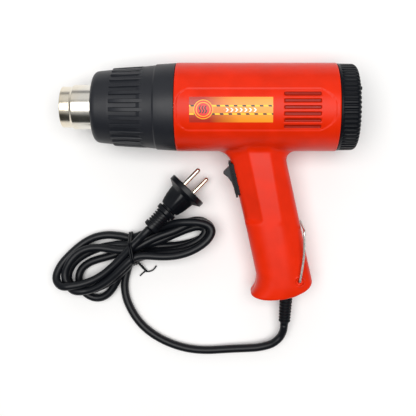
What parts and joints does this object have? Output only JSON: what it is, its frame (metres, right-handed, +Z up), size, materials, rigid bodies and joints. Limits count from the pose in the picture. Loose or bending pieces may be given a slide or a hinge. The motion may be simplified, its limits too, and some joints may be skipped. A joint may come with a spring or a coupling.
{
  "type": "heat gun",
  "caption": "Pistol grip heat gun lying on its side, with a steel nozzle, rocker switch, hanger bail and a tied mains lead with a two pin plug.",
  "frame": {"origin": "centre of the gun's bounding box on the surface it lies on, measured without the free lead, its hank and its plug", "axes": "+X from the nozzle to the rear cap along the barrel, +Y from the handle's end to the barrel, +Z up out of the near half shell"},
  "size_m": [0.2577, 0.2497, 0.0728],
  "materials": {
    "red_plastic": "satin moulded",
    "black_plastic": "satin moulded",
    "cord_rubber": "satin",
    "polished_steel": "polished, faintly brushed",
    "zinc_steel": "plated wire and screws",
    "pin_nickel": "nickel plate",
    "brass": "plain",
    "mica": "mica sheet",
    "nichrome": "heat tinted",
    "ferrite": "sintered",
    "print_film": "printed film",
    "board_green": "laminate",
    "capacitor_yellow": "moulded",
    "wire_blue": "insulation",
    "wire_brown": "insulation"
  },
  "bodies": {
    "gun": {"housing_near": "red_plastic", "housing_far": "red_plastic", "label_plate": "print_film", "nozzle_tube": "polished_steel", "front_collar": "black_plastic", "tube_mount_ring": "zinc_steel", "cap_screw": "zinc_steel", "air_grille": "black_plastic", "fan_shroud": "black_plastic", "motor_can": "zinc_steel", "motor_magnet_1": "ferrite", "motor_magnet_2": "ferrite", "motor_end_bell": "black_plastic", "shaft_bush_front": "brass", "shaft_bush_rear": "brass", "heater_former": "mica", "heater_coil": "nichrome", "mica_sleeve": "mica", "heater_base": "mica", "thermal_cutoff": "zinc_steel", "switch_body": "black_plastic", "rocker_pin": "zinc_steel", "capacitor": "capacitor_yellow", "rectifier_board": "board_green", "cord_clamp": "black_plastic", "clamp_screw_1": "zinc_steel", "clamp_screw_2": "zinc_steel", "strain_relief": "cord_rubber", "lead_live": "wire_brown", "lead_neutral": "wire_blue", "lead_heater": "wire_brown", "cord_lead": "cord_rubber", "cord_hank": "cord_rubber", "cord_tail": "cord_rubber", "twist_tie": "black_plastic", "plug_body": "cord_rubber", "plug_pin_1": "pin_nickel", "plug_pin_2": "pin_nickel", "housing_screw_1": "zinc_steel", "housing_screw_2": "zinc_steel", "housing_screw_3": "zinc_steel", "housing_screw_4": "zinc_steel", "housing_screw_5": "zinc_steel", "housing_screw_6": "zinc_steel", "switch_terminal_1": "brass", "switch_terminal_2": "brass", "switch_terminal_3": "brass"},
    "fan": {"impeller": "black_plastic", "motor_shaft": "zinc_steel", "motor_rotor": "nichrome"},
    "air_regulator": {"rear_cap": "black_plastic"},
    "rocker_key": {"rocker": "black_plastic"},
    "hanger": {"hanger_wire": "zinc_steel"}
  },
  "joints": [
    {"name": "fan_spin", "type": "hinge", "parent": "gun", "child": "fan", "pos_m": [0.0209, 0.07414, 0.03646], "axis": [1, 0, 0], "continuous": true},
    {"name": "air_regulator_turn", "type": "hinge", "parent": "gun", "child": "air_regulator", "pos_m": [0.0209, 0.07414, 0.03646], "axis": [1, 0, 0], "range_deg": [0, 22.5]},
    {"name": "rocker_tilt", "type": "hinge", "parent": "gun", "child": "rocker_key", "pos_m": [0.02106, 0.01508, 0.02941], "axis": [0, 0.1185, -0.993], "range_deg": [0, 24]},
    {"name": "hanger_swing", "type": "hinge", "parent": "gun", "child": "hanger", "pos_m": [0.0744, -0.06855, 0.01943], "axis": [0, 0.1185, -0.993], "range_deg": [0, 170]}
  ]
}
